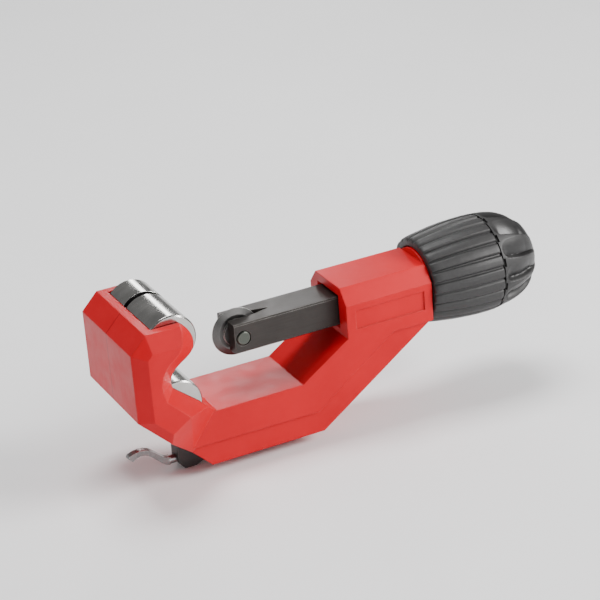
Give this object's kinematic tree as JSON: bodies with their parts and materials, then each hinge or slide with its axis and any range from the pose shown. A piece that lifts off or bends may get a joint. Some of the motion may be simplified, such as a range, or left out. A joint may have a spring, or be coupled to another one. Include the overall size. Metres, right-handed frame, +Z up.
{
  "type": "pipe cutter",
  "caption": "Compact tube cutter: C-shaped cast frame with two rollers, square slide with cutting wheel, screw drive with ribbed knob, and a fold-out hook deburrer.",
  "frame": {"origin": "axis of an 18 mm tube held by the two rollers and the wheel, in the wheel's plane", "axes": "+X along the slide towards the knob, +Y along the tube, +Z up towards the frame's open side"},
  "size_m": [0.168, 0.048, 0.0674],
  "materials": {
    "frame": "satin paint on a zinc alloy casting",
    "upper_roller": "turned",
    "lower_roller": "turned",
    "upper_roller_pin": "plain",
    "lower_roller_pin": "plain",
    "slide": "dark oxide",
    "cutter_wheel": "ground",
    "wheel_pin": "dull zinc",
    "wheel_clip": "black oxide",
    "spindle": "rolled thread",
    "thrust_washer": "ground",
    "end_bush": "turned",
    "retaining_ring": "black oxide",
    "knob": "fine texture",
    "knob_cap": "fine texture",
    "knob_washer": "zinc",
    "knob_screw": "black oxide",
    "spare_wheel": "ground",
    "deburr_holder": "black",
    "deburr_pivot": "plain",
    "deburr_blade": "ground",
    "blade_screw": "black oxide",
    "detent_spring": "wire",
    "detent_ball": "polished"
  },
  "bodies": {
    "frame": {"frame": "frame", "upper_roller_pin": "upper_roller_pin", "lower_roller_pin": "lower_roller_pin", "thrust_washer": "thrust_washer", "end_bush": "end_bush", "retaining_ring": "retaining_ring", "deburr_pivot": "deburr_pivot"},
    "upper_roller": {"upper_roller": "upper_roller"},
    "lower_roller": {"lower_roller": "lower_roller"},
    "slide": {"slide": "slide", "wheel_pin": "wheel_pin", "wheel_clip": "wheel_clip"},
    "cutter_wheel": {"cutter_wheel": "cutter_wheel"},
    "knob": {"spindle": "spindle", "knob": "knob", "knob_washer": "knob_washer", "knob_screw": "knob_screw"},
    "cap": {"knob_cap": "knob_cap", "spare_wheel": "spare_wheel"},
    "deburrer": {"deburr_holder": "deburr_holder", "detent_ball": "detent_ball", "detent_spring": "detent_spring", "blade_screw": "blade_screw"},
    "blade": {"deburr_blade": "deburr_blade"}
  },
  "joints": [
    {"name": "knob_turn", "type": "hinge", "parent": "frame", "child": "knob", "pos_m": [0.1, 0, 0], "axis": [1, 0, 0], "range_deg": [-3240, 4680]},
    {"name": "slide_travel", "type": "slide", "parent": "frame", "child": "slide", "axis": [1, 0, 0], "range_m": [-0.0136, 0.0196]},
    {"name": "wheel_spin", "type": "hinge", "parent": "slide", "child": "cutter_wheel", "pos_m": [0.0179, 0, 0], "axis": [0, 1, 0], "continuous": true},
    {"name": "upper_roller_spin", "type": "hinge", "parent": "frame", "child": "upper_roller", "pos_m": [-0.01339, 0, 0.0124], "axis": [0, 1, 0], "continuous": true},
    {"name": "lower_roller_spin", "type": "hinge", "parent": "frame", "child": "lower_roller", "pos_m": [-0.01339, 0, -0.0124], "axis": [0, 1, 0], "continuous": true},
    {"name": "cap_pull", "type": "slide", "parent": "knob", "child": "cap", "axis": [1, 0, 0], "range_m": [0, 0.01]},
    {"name": "deburrer_fold", "type": "hinge", "parent": "frame", "child": "deburrer", "pos_m": [0.002, 0, -0.038], "axis": [0, -1, 0], "range_deg": [0, 180]},
    {"name": "blade_swivel", "type": "hinge", "parent": "deburrer", "child": "blade", "pos_m": [-0.005, 0, -0.0423], "axis": [1, 0, 0], "continuous": true}
  ],
  "couplings": [
    {"joint": "slide_travel", "follows": "knob_turn", "m_per_rad": 0.00023873}
  ]
}
